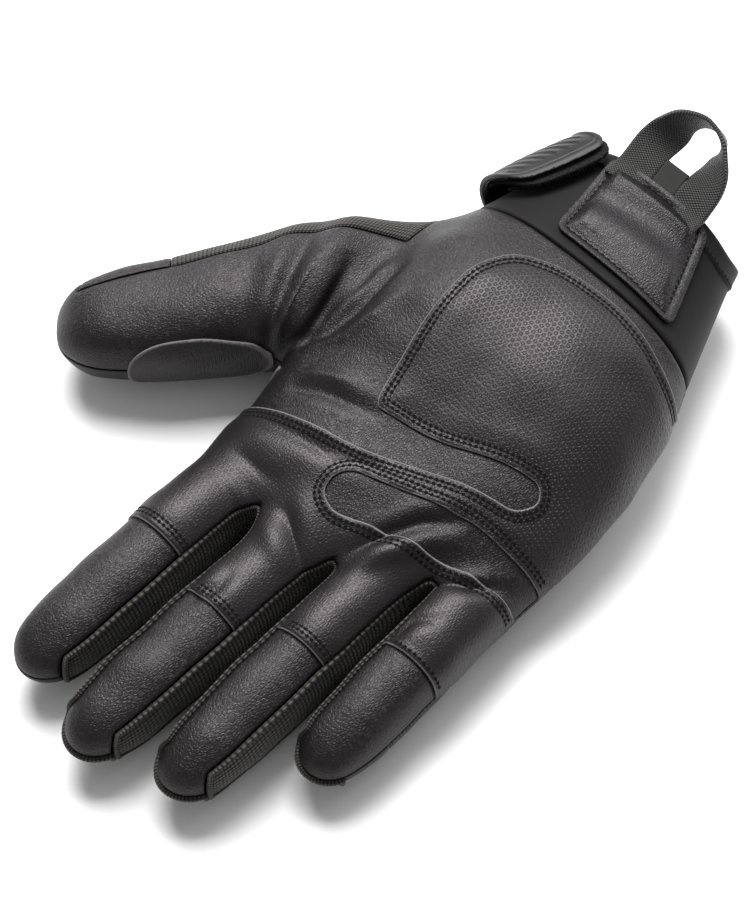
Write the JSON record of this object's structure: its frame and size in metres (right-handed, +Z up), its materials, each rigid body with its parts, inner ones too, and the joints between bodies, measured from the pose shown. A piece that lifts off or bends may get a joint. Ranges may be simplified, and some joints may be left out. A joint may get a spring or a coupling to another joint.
{
  "type": "work glove",
  "caption": "Right-hand leather and knit work glove lying palm up, hollow, with a short cuff, a wrap-over closure tab, a wrist patch and a webbing pull loop.",
  "frame": {"origin": "a point on the flat of the back of the hand, below the middle of the palm, where the glove rests on the floor", "axes": "+Y from the wrist towards the fingertips, +X towards the thumb, +Z up out of the palm"},
  "size_m": [0.1663, 0.2554, 0.0581],
  "materials": {
    "leather": "soft grain",
    "textured_leather": "embossed",
    "knit": "ribbed knit",
    "neoprene": "matte",
    "webbing": "woven",
    "rubber": "moulded",
    "pile": "hook and pile"
  },
  "bodies": {
    "root": {"palm_leather": "leather", "index_tip_leather": "leather", "middle_tip_leather": "leather", "ring_tip_leather": "leather", "little_tip_leather": "leather", "palm_overlay": "textured_leather", "thumb_patch": "textured_leather", "back_knit": "knit", "fourchette_index_middle": "knit", "fourchette_middle_ring": "knit", "fourchette_ring_little": "knit", "thumb_nail_leather": "leather", "index_nail_leather": "leather", "middle_nail_leather": "leather", "ring_nail_leather": "leather", "little_nail_leather": "leather", "cuff": "neoprene", "cuff_hem": "neoprene", "wrist_patch": "leather", "pull_loop": "webbing", "loop_label": "webbing", "closure_tab": "rubber", "hook_pad": "pile", "pile_pad": "pile"}
  },
  "joints": []
}
